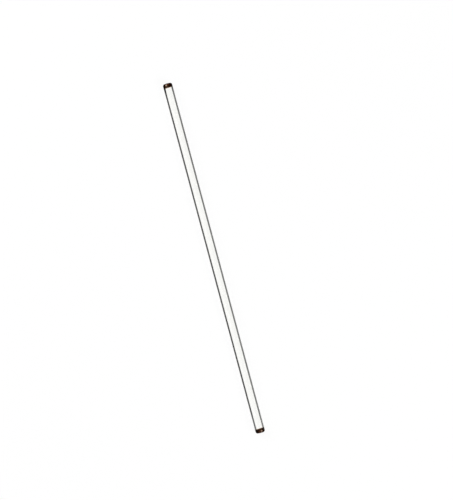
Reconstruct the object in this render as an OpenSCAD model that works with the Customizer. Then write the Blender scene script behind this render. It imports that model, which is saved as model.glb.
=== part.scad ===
// Glass stirring rod: one drawn length of solid glass, lying along +X with its middle at
// the origin. Both ends are polished in a flame, which rounds the rim, leaves the end face
// slightly domed and turns the last of the glass dark brown.

/* [Rod] */
// Length over both polished ends
rod_l = 200; // [100:1:400]
// Diameter of the drawn glass
rod_d = 5.2; // [4:0.1:10]

/* [Polished ends] */
// Radius of the rounded rim
rim_r = 1.2; // [0.3:0.1:1.9]
// Radius of the shallow dome of the end face
face_r = 16; // [6:0.5:60]
// Depth of the dark glass, from the tip
dark_l = 2.3; // [0.5:0.1:10]

/* [Colours] */
// Tint of the clear glass
clear_color = "#DDE3DE"; // [#DDE3DE:Clear, #D9E6C8:Pale green, #C9DDE6:Pale blue]
// How solidly the clear glass is drawn
clear_alpha = 0.5; // [0.1:0.1:1]
// Colour of the glass at the ends
dark_color = "#38261D"; // [#38261D:Dark brown, #8A4A12:Amber, #1C2730:Blue black]

/* [Hidden] */
$fn = 96;

rod_r = rod_d / 2;
// The dome runs into the rim, and the rim into the side of the rod, with no edge between.
// So the centre of the rim's arc lies rim_r inside the side and rim_r inside the dome.
rim_y = rod_r - rim_r;
rim_to_face = face_r - rim_r;
// How far the dome lifts the tip over the crown of the rim
dome_rise = rim_to_face - sqrt(pow(rim_to_face, 2) - pow(rim_y, 2));
// Radius of the dome's outline, where it runs into the rim
dome_y = face_r * rim_y / rim_to_face;

// Section of one end with its tip at the origin and its axis along Y, and with its half of
// the shank, which runs a little past the middle of the rod
module end_section() {
    intersection() {
        union() {
            translate([0, -dome_rise]) translate([0, -rim_r]) {
                translate([rim_y, 0]) circle(rim_r);
                translate([0, -rod_l / 2]) square([rod_r, rod_l / 2]);
            }
            intersection() {
                translate([0, -face_r]) circle(face_r);
                translate([0, -rod_d]) square([dome_y, 2 * rod_d]);
            }
        }
        // The side of the axis that is turned
        translate([0, -rod_l]) square([rod_d, 2 * rod_l]);
    }
}

// The rod, turned from the sections of its two ends
module rod_form() {
    rotate([0, 90, 0]) rotate_extrude()
        for (side = [0, 1])
            mirror([0, side]) translate([0, rod_l / 2]) end_section();
}

// A block round each end, wide and long enough to hold all of its dark glass
module dark_zones() {
    for (side = [0, 1])
        mirror([side, 0, 0])
            translate([rod_l / 2 - dark_l, -rod_d, -rod_d])
                cube([dark_l + rod_d, 2 * rod_d, 2 * rod_d]);
}

// One solid piece of glass, clear along its length and dark at both ends
module stirring_rod() {
    color(clear_color, clear_alpha) difference() {
        rod_form();
        dark_zones();
    }
    color(dark_color) intersection() {
        rod_form();
        dark_zones();
    }
}

stirring_rod();
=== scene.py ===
"""Glass stirring rod: the drawn rod with its flame-polished ends, its two kinds of glass and a
plain white studio. It is built around the packed model, which is the fixed frame."""

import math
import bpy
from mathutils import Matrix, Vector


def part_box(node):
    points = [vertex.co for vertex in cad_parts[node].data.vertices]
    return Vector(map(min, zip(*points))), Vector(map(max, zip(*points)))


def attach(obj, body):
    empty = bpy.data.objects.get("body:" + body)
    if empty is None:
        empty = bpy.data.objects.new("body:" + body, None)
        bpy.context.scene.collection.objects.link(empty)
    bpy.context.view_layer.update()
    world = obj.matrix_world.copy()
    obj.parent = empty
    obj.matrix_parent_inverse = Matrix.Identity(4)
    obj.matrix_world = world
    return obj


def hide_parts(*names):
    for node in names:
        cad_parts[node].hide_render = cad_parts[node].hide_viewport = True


bl_info = {
    "name": "Glass stirring rod",
    "version": (1, 0, 0),
    "blender": (4, 5, 0),
    "location": "3D View > Sidebar > Stirring Rod",
    "description": "Builds a solid glass stirring rod and a white studio to show it in",
    "category": "Add Mesh",
}

import bmesh
import bpy
from bpy.props import FloatProperty, FloatVectorProperty, IntProperty, PointerProperty
from mathutils import Matrix, Vector

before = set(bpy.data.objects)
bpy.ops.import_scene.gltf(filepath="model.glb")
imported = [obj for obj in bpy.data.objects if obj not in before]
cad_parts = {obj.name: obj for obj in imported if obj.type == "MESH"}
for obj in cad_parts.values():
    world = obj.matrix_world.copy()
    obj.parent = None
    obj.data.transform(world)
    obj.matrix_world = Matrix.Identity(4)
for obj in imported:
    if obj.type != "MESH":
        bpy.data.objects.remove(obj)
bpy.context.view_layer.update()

ROD_NODE = "stirring_rod"
ROD_BODY = "root"

MM = 0.001
WHITE = (1.0, 1.0, 1.0, 1.0)

# The rod lies along X, so the frame's box gives its length and its diameter
ROD_LOW, ROD_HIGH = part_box(ROD_NODE)
FRAME_LENGTH = ROD_HIGH.x - ROD_LOW.x
FRAME_DIAMETER = ROD_HIGH.z - ROD_LOW.z

# Both kinds of glass are the same borosilicate glass, and bend light alike
GLASS_INDEX = 1.473

# Each pair below is where a change of look starts and where it is complete.
# Across the rod as it is seen, from 0 down its middle to 1 at its edge:
# The edge line is painted shade, standing in for dark surroundings refracted at the glass's edges
LINE_PALES = (0.7, 0.86)
LINE_CLOSES = (0.9, 1.0)
# Painted shade: the brown of the dark ends turns near-black towards their sides as seen
BROWN_SHADED_AT_SIDES = (0.4, 0.72)
GLOSS_STOPS = (0.44, 0.64)
# Across the rod itself, in radii from its axis:
# Where the rod turns to its painted side: a darker middle and a paler edge line, both painted
PAINTED_SIDE = (0.05, -0.35)
POLISHED_HALF = (-0.12, 0.12)
# Painted highlight: a paler tail of each end's highlight runs down one side of it
PAINTED_TAIL_STARTS = (0.12, 0.26)
PAINTED_TAIL_STOPS = (0.42, 0.56)
# Down from the tip of an end:
RIM_STARTS = (0.08 * MM, 0.4 * MM)
# Where the painted highlight tail starts below the tip
PAINTED_TAIL_CLEARS = (0.2 * MM, 0.8 * MM)
BROWN_THINS = (0.8 * MM, 1.6 * MM)
# Along the rod from its middle, towards the +X end and away from the -X end, for the painted edge
# shade:
HIGH_END = (FRAME_LENGTH / 2 - 7.5 * MM, FRAME_LENGTH / 2 - 2.9 * MM)
LOW_END = (4.5 * MM - FRAME_LENGTH / 2, 13 * MM - FRAME_LENGTH / 2)
# From seen square on, at 0, to seen edge on, at 1:
GLOSS_DIES = (0.2, 0.34)

# Each pair below is how strong a thing is before such a change and after it
# How dark the painted edge shade is across the rod, and how unevenly it runs along it
LINE_INNER = (0.62, 1.3)
LINE_OUTER = (1.0, 0.7)
LINE_UNEVEN = (0.88, 1.12)
# Painted shade and light on the edge lines next to the dark ends, and how much wider the shade
# gets
LINE_HIGH_END = (1.0, 0.15)
LINE_LOW_END = (1.9, 1.0)
PAINTED_SIDE_HIGH_END = (1.0, 0.6)
PAINTED_SIDE_LOW_END = (1.25, 1.0)
LINE_WIDENS = (0.0, 0.045)
BROWN_CLOUDY = (0.25, 1.0)
BROWN_INNER = (1.0, 0.15)
# How strong the painted highlight tail is at the tip and across the clouds
PAINTED_TAIL_AT_TIP = (0.2, 1.0)
PAINTED_TAIL_CLOUDY = (0.6, 1.0)
HALF_GLOSS = (0.12, 1.0)
RAGGED = (-0.25, 0.25)
DARK_ROUGHNESS = (0.09, 0.16)
GOES = (1.0, 0.0)

# The clouds and the fine waviness in the glass, with their scale in bumps to the metre
CLOUDS = {"scale": 620.0, "roughness": 0.45}
FINE_WAVES = {"scale": 2600.0}
# The drawing lines run all along the rod, so they are stretched until they hardly change along X
DRAWING_LINES = {"scale": 1.0, "detail": 1.0}
DRAWING_STRETCH = (2.0, 900.0, 900.0)
# The part of a noise's range, of 0 to 1, over which it turns one look into the other
CLOUD_RANGE = (0.38, 0.6)
PAINTED_TAIL_RANGE = (0.3, 0.6)
NOISE_RANGE = (0.3, 0.7)
# Bumps as (strength, height)
DRAWING_BUMP = (0.02, 0.01 * MM)
FINE_BUMP = (0.05, 0.03 * MM)

# How far a point lies in the dark glass, from 0 to 1, is kept with the mesh under this name
DARK_SHARE_NAME = "dark_share"
# How fast red, green and blue die out in the fading dark glass: the last of it looks amber
FADE_RATES = (3.3, 5.4, 8.2)

# Steps of the rod's outline on the dome, round the rim and along half of the shank
DOME_STEPS = 6
RIM_STEPS = 20
SHANK_STEPS = 12
CLEAR_GLASS, DARK_GLASS = range(2)

# The studio: which way each lamp lies from the rod's middle, and how far. The two softboxes
# are twins, and each highlight panel lights up the end on its own side
FLOOR_REACH = 20.0
SOFTBOXES = (
    ("softbox_a", (0.609, 0.519, 0.602)),
    ("softbox_b", (-0.609, -0.519, 0.602)),
)
SOFTBOX_SIZE = 0.55
SOFTBOX_REACH = 1.2
# Each highlight panel's name, way, width and height as seen from the rod, and share of brightness
GLINTS = (
    ("glint_a", (0.59, 0.475, 0.653), math.radians(20.0), math.radians(50.0), 1.28),
    ("glint_b", (-0.486, -0.528, 0.697), math.radians(28.0), math.radians(36.0), 1.0),
)
GLINT_REACH = 1.1
# The sky that the glass mirrors is dim on the -Y side and white on the +Y side and low down
SKY_TURNS = (-0.2, 0.5)
SKY_BRIGHT = (0.25, 1.0)
SKY_LOW = (0.05, 0.4)

# The picture is this many pixels high and takes in this much of the rod's plane. The camera
# is turned to let the rod lean, and lies so many pixels to the right of and above its middle
PICTURE_HIGH = 500
PICTURE_SPAN = 276.36 * MM
PIXEL = PICTURE_SPAN / PICTURE_HIGH
CAMERA_TURN = math.radians(-105.0)
CAMERA_RIGHT = 12.6
CAMERA_UP = 8.15
CAMERA_CLIP = (0.05, 60.0)
SENSOR = 36.0


# ---------------------------------------------------------------- sizes and finishes


class RodSizes(bpy.types.PropertyGroup):
    """Sizes of the drawn rod and its polished ends"""

    length: FloatProperty(
        name="Length",
        description="Length over both polished ends",
        default=FRAME_LENGTH,
        min=0.05,
        unit="LENGTH",
    )
    diameter: FloatProperty(
        name="Diameter",
        description="Diameter of the drawn glass",
        default=FRAME_DIAMETER,
        min=0.003,
        unit="LENGTH",
    )
    rim: FloatProperty(
        name="Rim radius",
        description="Radius of the rounded rim of each end",
        default=1.2 * MM,
        min=0.3 * MM,
        max=1.4 * MM,
        unit="LENGTH",
    )
    face: FloatProperty(
        name="Face radius",
        description="Radius of the shallow dome of each end face",
        default=16 * MM,
        min=6 * MM,
        unit="LENGTH",
    )
    dark: FloatProperty(
        name="Dark depth",
        description="Depth of the fully dark glass, from the tip",
        default=2.3 * MM,
        min=2 * MM,
        unit="LENGTH",
    )
    slant: FloatProperty(
        name="Dark slant",
        description="How much deeper than that the dark glass runs down one side of the rod",
        default=0.25 * MM,
        min=0.0,
        max=0.5 * MM,
        unit="LENGTH",
    )
    fade: FloatProperty(
        name="Fade",
        description="Length over which the dark glass fades into the clear",
        default=0.3 * MM,
        min=0.05 * MM,
        unit="LENGTH",
    )
    sides: IntProperty(
        name="Sides",
        description="How many faces go round the rod",
        default=160,
        min=24,
    )


class ClearFinish(bpy.types.PropertyGroup):
    """The clear drawn glass"""

    tint: FloatVectorProperty(
        name="Tint",
        description="Colour of the light that comes through the middle of the rod",
        subtype="COLOR",
        default=(1.0, 1.0, 0.978),
        min=0.0,
        max=1.0,
    )
    # Painted shade: the middle of the rod is darker on one side, painted into the glass colour
    painted_side: FloatVectorProperty(
        name="Grey side",
        description="The same on the rod's greyer side, as drawn glass is never quite even",
        subtype="COLOR",
        default=(0.977, 0.978, 0.951),
        min=0.0,
        max=1.0,
    )
    # Painted shade: dark surroundings refracted at the glass's edges, painted in as a line
    line: FloatVectorProperty(
        name="Edge line",
        description="Colour of the dark line where the glass turns away along each edge",
        subtype="COLOR",
        default=(0.08, 0.08, 0.078),
        min=0.0,
        max=1.0,
    )
    # Painted light: the edge line is paler on the painted side
    line_painted_side: FloatVectorProperty(
        name="Grey edge line",
        description="The same on the rod's greyer side",
        subtype="COLOR",
        default=(0.156, 0.156, 0.152),
        min=0.0,
        max=1.0,
    )
    line_start: FloatProperty(
        name="Line start",
        description="Where the edge line starts, as a share of the radius",
        subtype="FACTOR",
        default=0.63,
        min=0.3,
        max=0.99,
    )
    line_full: FloatProperty(
        name="Line full",
        description="Where the edge line has its whole depth, as a share of the radius",
        subtype="FACTOR",
        default=0.69,
        min=0.3,
        max=1.0,
    )
    line_depth: FloatProperty(
        name="Line depth",
        description="How much of the light the edge line stops",
        subtype="FACTOR",
        default=0.98,
        min=0.0,
        max=1.0,
    )
    gloss: FloatProperty(
        name="Gloss",
        description="How strongly the clear glass mirrors the studio",
        subtype="FACTOR",
        default=0.2,
        min=0.0,
        max=1.0,
    )
    roughness: FloatProperty(
        name="Roughness",
        description="Roughness of the drawn surface",
        subtype="FACTOR",
        default=0.02,
        min=0.0,
        max=1.0,
    )


class DarkFinish(bpy.types.PropertyGroup):
    """The dark glass of the ends"""

    deep: FloatVectorProperty(
        name="Deep",
        description="Colour of the glass where it is nearly black",
        subtype="COLOR",
        default=(0.0072, 0.0018, 0.0005),
        min=0.0,
        max=1.0,
    )
    brown: FloatVectorProperty(
        name="Brown",
        description="Colour of the browner clouds near the tip",
        subtype="COLOR",
        default=(0.06, 0.0148, 0.0034),
        min=0.0,
        max=1.0,
    )
    # Painted highlight: the paler streak is the tail of each end's highlight, painted into the
    # colour
    painted_tail: FloatVectorProperty(
        name="Streak",
        description="Colour of the paler streak down one side of each end",
        subtype="COLOR",
        default=(0.05, 0.023, 0.011),
        min=0.0,
        max=1.0,
    )
    shine: FloatVectorProperty(
        name="Shine",
        description="Warm cast of what the dark glass mirrors",
        subtype="COLOR",
        default=(1.0, 0.76, 0.58),
        min=0.0,
        max=1.0,
    )
    gloss: FloatProperty(
        name="Gloss",
        description="How strongly the better polished half of each end mirrors the studio",
        subtype="FACTOR",
        default=0.6,
        min=0.0,
        max=1.0,
    )


class StudioLook(bpy.types.PropertyGroup):
    """The white studio"""

    floor: FloatVectorProperty(
        name="Floor",
        description="Colour of the floor",
        subtype="COLOR",
        default=(0.92, 0.92, 0.92),
        min=0.0,
        max=1.0,
    )
    shadow: FloatProperty(
        name="Shadow",
        description="How much of the rod's shadow the white floor keeps",
        subtype="FACTOR",
        default=0.07,
        min=0.0,
        max=1.0,
    )
    softbox: FloatProperty(
        name="Softbox power",
        description="Power of each of the two softboxes",
        default=8.0,
        min=0.0,
        unit="POWER",
    )
    glint: FloatProperty(
        name="Glint",
        description="Brightness of the two panels that show only as highlights",
        default=10.9,
        min=0.0,
    )
    ambient: FloatProperty(
        name="Ambient",
        description="Strength of the light from all round",
        default=0.45,
        min=0.0,
    )
    lens: FloatProperty(
        name="Lens",
        description="Focal length of the camera; a long one keeps the view nearly parallel",
        default=400.0,
        min=20.0,
        unit="CAMERA",
    )


# ---------------------------------------------------------------- shader nodes


class Tree:
    """A short way to add and join shader nodes"""

    def __init__(self, owner):
        owner.use_nodes = True
        self.nodes = owner.node_tree.nodes
        self.links = owner.node_tree.links
        self.nodes.clear()

    def put(self, socket, value):
        if isinstance(value, bpy.types.NodeSocket):
            self.links.new(value, socket)
        else:
            socket.default_value = value

    def add(self, kind, *values, named=None, **settings):
        """A node with its settings, its first inputs in their order, and its named inputs"""
        node = self.nodes.new("ShaderNode" + kind)
        for key, value in settings.items():
            setattr(node, key, value)
        for socket, value in zip(node.inputs, values):
            self.put(socket, value)
        for key, value in (named or {}).items():
            self.put(node.inputs[key], value)
        return node

    def maths(self, operation, *values):
        return self.add("Math", *values, operation=operation).outputs["Value"]

    def times(self, first, *others):
        for other in others:
            first = self.maths("MULTIPLY", first, other)
        return first

    def less(self, first, second):
        return self.maths("SUBTRACT", first, second)

    def smooth(self, value, window, amounts=(0.0, 1.0)):
        """Goes from the first amount to the second across the window, with no corner"""
        node = self.add("MapRange", value, *window, *amounts, interpolation_type="SMOOTHSTEP")
        return node.outputs["Result"]

    def blend(self, share, first, second, **settings):
        values = {"Factor": share, "A": first, "B": second}
        return self.add("Mix", named=values, **settings).outputs["Result"]

    def colours(self, share, first, second, kind="MIX"):
        return self.blend(share, first, second, data_type="RGBA", blend_type=kind)

    def noise(self, place, **amounts):
        values = {"Vector": place, **{key.title(): value for key, value in amounts.items()}}
        return self.add("TexNoise", named=values).outputs["Fac"]

    def bump(self, height, strength, distance):
        values = {"Height": height, "Strength": strength, "Distance": distance}
        return self.add("Bump", named=values).outputs["Normal"]


def rgba(colour):
    return (*colour, 1.0)


class Places:
    """Where a point of the glass lies on the rod"""

    def __init__(self, tree, sizes):
        radius = sizes.diameter / 2
        self.place = tree.add("TexCoord").outputs["Object"]
        x, y, z = tree.add("SeparateXYZ", self.place).outputs
        along = tree.maths("ABSOLUTE", x)
        # One end of the rod is the other turned half round, so both are marked alike
        turned = tree.times(y, tree.maths("SIGN", x))
        self.along = x
        self.depth = tree.less(sizes.length / 2, along)
        self.sideways = tree.maths("DIVIDE", y, radius)
        self.turned = tree.maths("DIVIDE", turned, radius)
        self.alike = tree.add("CombineXYZ", along, turned, z).outputs["Vector"]


def side_share(tree):
    """How far to the side of the rod the glass is seen: 0 down the middle and 1 at its edge"""
    around = tree.add("Tangent", direction_type="RADIAL", axis="X").outputs["Tangent"]
    square = tree.less(1.0, tree.add("LayerWeight").outputs["Facing"])
    aside = tree.less(1.0, tree.add("LayerWeight", named={"Normal": around}).outputs["Facing"])
    both = tree.add("CombineXYZ", square, aside, 0.0).outputs["Vector"]
    length = tree.add("VectorMath", both, operation="LENGTH").outputs["Value"]
    return tree.maths("DIVIDE", aside, length)


def painted_edge_shade(tree, places, side, drawing, painted_side):
    """How pale the painted edge shade is: darkest where it starts, paler further out, dark again
    last
    """
    inner = tree.smooth(side, LINE_PALES, LINE_INNER)
    outer = tree.smooth(side, LINE_CLOSES, LINE_OUTER)
    uneven = tree.smooth(drawing, NOISE_RANGE, LINE_UNEVEN)
    # Next to the dark glass the edge line is painted darker at the +X end and paler at the -X end
    high = (tree.smooth(places.along, HIGH_END, pair) for pair in (LINE_HIGH_END, PAINTED_SIDE_HIGH_END))
    low = (tree.smooth(places.along, LOW_END, pair) for pair in (LINE_LOW_END, PAINTED_SIDE_LOW_END))
    return tree.times(inner, outer, uneven, tree.blend(painted_side, *high), tree.blend(painted_side, *low))


def amber_fade(tree):
    """What colour is left of the light where the dark glass fades into the clear"""
    dark_share = tree.add("Attribute", attribute_name=DARK_SHARE_NAME).outputs["Fac"]
    left = [tree.maths("EXPONENT", tree.times(dark_share, -rate)) for rate in FADE_RATES]
    return tree.add("CombineColor", *left).outputs["Color"]


def clear_glass(finish, sizes):
    """Drawn glass: clear along its middle, with a painted line of shade down each edge"""
    material = bpy.data.materials.new("clear_drawn_glass")
    tree = Tree(material)
    places = Places(tree, sizes)
    side = side_share(tree)
    stretched = tree.add("Mapping", named={"Vector": places.place, "Scale": DRAWING_STRETCH})
    drawing = tree.noise(stretched.outputs["Vector"], **DRAWING_LINES)
    # Painted shade and light: one side gets a darker middle and a paler edge line
    painted_side = tree.smooth(places.sideways, PAINTED_SIDE)
    # Next to the dark glass at the +X end the painted edge shade is wider, except on the painted
    # side
    wider = tree.smooth(places.along, HIGH_END, LINE_WIDENS)
    wider = tree.maths("ADD", side, tree.times(wider, tree.less(1.0, painted_side)))
    line = tree.smooth(wider, (finish.line_start, finish.line_full))
    middle = tree.colours(painted_side, rgba(finish.tint), rgba(finish.painted_side))
    edge = tree.colours(painted_side, rgba(finish.line), rgba(finish.line_painted_side))
    shade = {"Scale": painted_edge_shade(tree, places, side, drawing, painted_side)}
    edge = tree.add("VectorMath", edge, named=shade, operation="SCALE").outputs["Vector"]
    # Painted shade: towards each edge as seen, the clear colour gives way to the painted edge line
    colour = tree.colours(line, middle, edge)
    values = {
        "Base Color": tree.colours(1.0, colour, amber_fade(tree), kind="MULTIPLY"),
        "Roughness": finish.roughness,
        "IOR": GLASS_INDEX,
        # Where the edge shade is painted, the glass mirrors less and lets less light through
        "Specular IOR Level": tree.times(tree.less(1.0, line), finish.gloss),
        "Transmission Weight": tree.less(1.0, tree.times(line, finish.line_depth)),
        "Normal": tree.bump(drawing, *DRAWING_BUMP),
    }
    shader = tree.add("BsdfPrincipled", named=values)
    tree.add("OutputMaterial", shader.outputs["BSDF"])
    return material


def dark_glass(finish, sizes):
    """Dark glass: brown clouds, painted shade towards its sides, a painted highlight tail, one
    half polished
    """
    material = bpy.data.materials.new("dark_end_glass")
    tree = Tree(material)
    places = Places(tree, sizes)
    # The side of the rod means nothing on the end face, so what depends on it starts on the rim
    side = tree.times(side_share(tree), tree.smooth(places.depth, RIM_STARTS))
    cloud = tree.noise(places.alike, **CLOUDS)
    # Painted shade: the brown clouds turn near-black towards the sides as seen; they also thin
    # inwards
    brown = tree.times(
        tree.smooth(cloud, CLOUD_RANGE, BROWN_CLOUDY),
        tree.smooth(places.depth, BROWN_THINS, BROWN_INNER),
        tree.smooth(side, BROWN_SHADED_AT_SIDES, GOES),
    )
    # Painted highlight: a paler tail of the end's highlight down one side
    painted_tail = tree.times(
        tree.smooth(places.turned, PAINTED_TAIL_STARTS),
        tree.smooth(places.turned, PAINTED_TAIL_STOPS, GOES),
        tree.smooth(places.depth, PAINTED_TAIL_CLEARS, PAINTED_TAIL_AT_TIP),
        tree.smooth(cloud, PAINTED_TAIL_RANGE, PAINTED_TAIL_CLOUDY),
    )
    facing = tree.add("LayerWeight").outputs["Facing"]
    # One half of each end is better polished, and the clouds make its edge ragged
    ragged = tree.maths("ADD", places.turned, tree.smooth(cloud, NOISE_RANGE, RAGGED))
    gloss = tree.times(
        tree.smooth(side, GLOSS_STOPS, (finish.gloss, 0.0)),
        tree.smooth(facing, GLOSS_DIES, GOES),
        tree.smooth(ragged, POLISHED_HALF, HALF_GLOSS),
    )
    fine = tree.noise(places.place, **FINE_WAVES)
    colour = tree.colours(brown, rgba(finish.deep), rgba(finish.brown))
    values = {
        "Base Color": tree.colours(painted_tail, colour, rgba(finish.painted_tail)),
        "Roughness": tree.smooth(fine, NOISE_RANGE, DARK_ROUGHNESS),
        "IOR": GLASS_INDEX,
        "Specular IOR Level": gloss,
        "Specular Tint": rgba(finish.shine),
        "Normal": tree.bump(fine, *FINE_BUMP),
    }
    shader = tree.add("BsdfPrincipled", named=values)
    tree.add("OutputMaterial", shader.outputs["BSDF"])
    return material


# ---------------------------------------------------------------- rod


def end_outline(sizes):
    """Outline of an end as (depth from the tip, radius), over its dome and round its rim"""
    rim_centre = sizes.diameter / 2 - sizes.rim
    reach = sizes.face - sizes.rim
    # The dome runs into the rim at this angle from the axis, with no edge between
    turn = math.asin(rim_centre / reach)
    rim_depth = sizes.face - reach * math.cos(turn)
    points = []
    for i in range(DOME_STEPS):
        angle = turn * i / DOME_STEPS
        points.append((sizes.face * (1 - math.cos(angle)), sizes.face * math.sin(angle)))
    for i in range(RIM_STEPS + 1):
        angle = turn + (math.pi / 2 - turn) * i / RIM_STEPS
        depth = rim_depth - sizes.rim * math.cos(angle)
        points.append((depth, rim_centre + sizes.rim * math.sin(angle)))
    return points


def half_rings(sizes):
    """Rings from a tip to the rod's middle, as (depth, slant, radius, how far in dark glass)"""
    radius = sizes.diameter / 2
    middle = sizes.length / 2
    faded = sizes.dark + sizes.fade
    straight = faded + sizes.slant + sizes.fade
    rings = [(depth, 0.0, outline, 1.0) for depth, outline in end_outline(sizes)]
    rings.append((sizes.dark, sizes.slant, radius, 1.0))
    rings.append((faded, sizes.slant, radius, 0.0))
    for i in range(SHANK_STEPS + 1):
        rings.append((straight + (middle - straight) * i / SHANK_STEPS, 0.0, radius, 0.0))
    return rings


def make_ring(build, dark_share, sizes, end, ring):
    """The points round the rod at one ring, or the single point of a tip"""
    depth, slant, radius, share = ring
    points = []
    for i in range(sizes.sides if radius > 0 else 1):
        angle = 2 * math.pi * i / sizes.sides
        # The -X end is the +X end turned half round, so it is deepest down the other side
        lean = end * slant * math.cos(angle)
        x = end * (sizes.length / 2 - depth - lean)
        point = build.verts.new((x, radius * math.cos(angle), radius * math.sin(angle)))
        point[dark_share] = share
        points.append(point)
    return points


def skin(build, first, second, slot):
    """The faces between two rings, which meet in a point where one of them is a tip"""
    sides = max(len(first), len(second))
    for i in range(sides):
        j = (i + 1) % sides
        around = ((first, i), (second, i), (second, j), (first, j))
        # The corners that fall together in a tip count once
        corners = dict.fromkeys(ring[k % len(ring)] for ring, k in around)
        face = build.faces.new(corners)
        face.smooth = True
        face.material_index = slot


def rod_mesh(sizes):
    """The whole rod, ring by ring from its +X tip to its -X tip"""
    half = half_rings(sizes)
    rings = [(1, ring) for ring in half] + [(-1, ring) for ring in reversed(half[:-1])]
    build = bmesh.new()
    dark_share = build.verts.layers.float.new(DARK_SHARE_NAME)
    made = [make_ring(build, dark_share, sizes, end, ring) for end, ring in rings]
    for first, second in zip(made, made[1:]):
        both_dark = first[0][dark_share] * second[0][dark_share] > 0
        skin(build, first, second, DARK_GLASS if both_dark else CLEAR_GLASS)
    bmesh.ops.recalc_face_normals(build, faces=build.faces)
    mesh = bpy.data.meshes.new("drawn_rod")
    build.to_mesh(mesh)
    build.free()
    return mesh


class STIRROD_OT_rod(bpy.types.Operator):
    """Draws the glass rod, with both ends polished in the flame"""

    bl_idname = "stirrod.rod"
    bl_label = "Make the Rod"
    bl_options = {"REGISTER", "UNDO"}

    def execute(self, context):
        scene = context.scene
        sizes = scene.stirrod_sizes
        mesh = rod_mesh(sizes)
        mesh.materials.append(clear_glass(scene.stirrod_clear, sizes))
        mesh.materials.append(dark_glass(scene.stirrod_dark, sizes))
        rod = bpy.data.objects.new("drawn_rod", mesh)
        scene.collection.objects.link(rod)
        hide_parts(ROD_NODE)
        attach(rod, ROD_BODY)
        return {"FINISHED"}


# ---------------------------------------------------------------- studio


def make_floor(scene, look):
    """White to the eye and to the glass, with a little of the rod's shadow left on it"""
    build = bmesh.new()
    bmesh.ops.create_grid(build, x_segments=1, y_segments=1, size=FLOOR_REACH)
    mesh = bpy.data.meshes.new("studio_floor")
    build.to_mesh(mesh)
    build.free()
    floor = bpy.data.objects.new("studio_floor", mesh)
    floor.location.z = ROD_LOW.z
    scene.collection.objects.link(floor)
    material = bpy.data.materials.new("white_floor")
    tree = Tree(material)
    path = tree.add("LightPath").outputs
    seen = tree.maths("MAXIMUM", path["Is Camera Ray"], path["Is Transmission Ray"])
    seen = tree.maths("MAXIMUM", seen, path["Is Glossy Ray"])
    lit = tree.add("BsdfDiffuse", rgba(look.floor)).outputs["BSDF"]
    white = tree.add("Emission", WHITE, 1.0).outputs["Emission"]
    mixed = tree.add("MixShader", tree.times(seen, 1.0 - look.shadow), lit, white)
    tree.add("OutputMaterial", mixed.outputs["Shader"])
    mesh.materials.append(material)


def make_world(scene, look):
    """White to the eye and through the glass, a shaded sky in its gloss, and soft light"""
    world = bpy.data.worlds.new("white_studio")
    scene.world = world
    tree = Tree(world)
    path = tree.add("LightPath").outputs
    seen = tree.maths("MAXIMUM", path["Is Camera Ray"], path["Is Transmission Ray"])
    way = tree.add("SeparateXYZ", tree.add("TexCoord").outputs["Generated"]).outputs
    overhead = tree.smooth(way["Y"], SKY_TURNS, SKY_BRIGHT)
    sky = tree.maths("MAXIMUM", overhead, tree.smooth(way["Z"], SKY_LOW, GOES))
    unseen = tree.blend(path["Is Glossy Ray"], look.ambient, sky)
    strength = tree.blend(seen, unseen, 1.0)
    back = tree.add("Background", WHITE, strength)
    tree.add("OutputWorld", back.outputs["Background"])


def make_lamp(scene, name, way, reach, data):
    """Sets a lamp that way from the rod; its height runs as nearly along the rod as it can"""
    way = Vector(way).normalized()
    lamp = bpy.data.objects.new(name, data)
    across = Vector((1.0, 0.0, 0.0)).cross(way).normalized()
    lamp.rotation_euler = Matrix((across, way.cross(across), way)).transposed().to_euler()
    lamp.location = way * reach
    lamp.visible_camera = False
    scene.collection.objects.link(lamp)
    return lamp


def make_softbox(scene, name, way, power):
    """A broad soft lamp that lights the rod and the floor and isn't mirrored in the glass"""
    data = bpy.data.lights.new(name, "AREA")
    data.shape = "DISK"
    data.size = SOFTBOX_SIZE
    data.energy = power
    lamp = make_lamp(scene, name, way, SOFTBOX_REACH, data)
    lamp.visible_glossy = False


def make_glint(scene, name, way, wide, tall, brightness):
    """A long panel that shows only as a highlight"""
    data = bpy.data.lights.new(name, "AREA")
    data.shape = "RECTANGLE"
    data.size = 2 * GLINT_REACH * math.tan(wide / 2)
    data.size_y = 2 * GLINT_REACH * math.tan(tall / 2)
    data.energy = brightness * math.pi * data.size * data.size_y
    lamp = make_lamp(scene, name, way, GLINT_REACH, data)
    lamp.visible_diffuse = False
    lamp.visible_transmission = False


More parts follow.
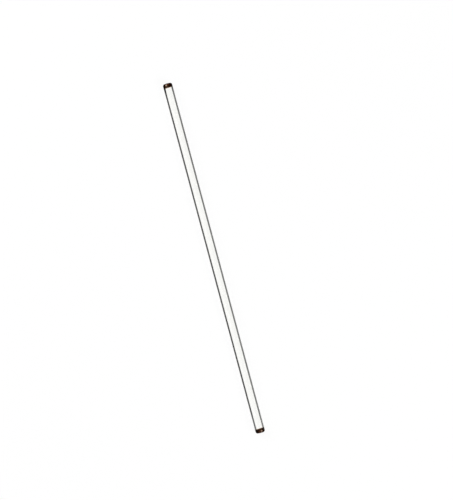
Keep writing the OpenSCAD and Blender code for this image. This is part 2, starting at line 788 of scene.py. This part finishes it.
def make_camera(scene, look):
    """Looks straight down, with the rod leaning across the picture"""
    right = Vector((math.cos(CAMERA_TURN), math.sin(CAMERA_TURN), 0.0))
    up = Vector((-right.y, right.x, 0.0))
    data = bpy.data.cameras.new("camera")
    data.sensor_width = SENSOR
    data.lens = look.lens
    data.clip_start, data.clip_end = CAMERA_CLIP
    camera = bpy.data.objects.new("camera", data)
    camera.location = PIXEL * (CAMERA_RIGHT * right + CAMERA_UP * up)
    camera.location.z = PICTURE_SPAN * look.lens / SENSOR
    camera.rotation_euler.z = CAMERA_TURN
    scene.collection.objects.link(camera)
    scene.camera = camera


class STIRROD_OT_stage(bpy.types.Operator):
    """Lays a white floor, sets the lamps on both sides and puts the camera straight above"""

    bl_idname = "stirrod.stage"
    bl_label = "Make the Studio"
    bl_options = {"REGISTER", "UNDO"}

    def execute(self, context):
        scene = context.scene
        look = scene.stirrod_studio
        make_floor(scene, look)
        make_world(scene, look)
        for name, way in SOFTBOXES:
            make_softbox(scene, name, way, look.softbox)
        for name, way, wide, tall, share in GLINTS:
            make_glint(scene, name, way, wide, tall, share * look.glint)
        make_camera(scene, look)
        scene.view_settings.view_transform = "Standard"
        return {"FINISHED"}


# ---------------------------------------------------------------- panel


class STIRROD_PT_panel(bpy.types.Panel):
    """The rod's sizes and finishes, and the buttons that make it"""

    bl_idname = "STIRROD_PT_panel"
    bl_label = "Stirring Rod"
    bl_space_type = "VIEW_3D"
    bl_region_type = "UI"
    bl_category = "Stirring Rod"

    def draw(self, context):
        for name, group in GROUPS:
            box = self.layout.box()
            settings = getattr(context.scene, name)
            box.label(text=group.__doc__)
            for key in group.__annotations__:
                box.prop(settings, key)
        self.layout.operator(STIRROD_OT_rod.bl_idname)
        self.layout.operator(STIRROD_OT_stage.bl_idname)


GROUPS = (
    ("stirrod_sizes", RodSizes),
    ("stirrod_clear", ClearFinish),
    ("stirrod_dark", DarkFinish),
    ("stirrod_studio", StudioLook),
)
BUTTONS = (STIRROD_OT_rod, STIRROD_OT_stage, STIRROD_PT_panel)


def register():
    for name, group in GROUPS:
        bpy.utils.register_class(group)
        setattr(bpy.types.Scene, name, PointerProperty(type=group))
    for button in BUTTONS:
        bpy.utils.register_class(button)


def unregister():
    for button in reversed(BUTTONS):
        bpy.utils.unregister_class(button)
    for name, group in reversed(GROUPS):
        delattr(bpy.types.Scene, name)
        bpy.utils.unregister_class(group)


def main():
    register()
    bpy.ops.stirrod.rod()
    bpy.ops.stirrod.stage()


if __name__ == "__main__":
    main()
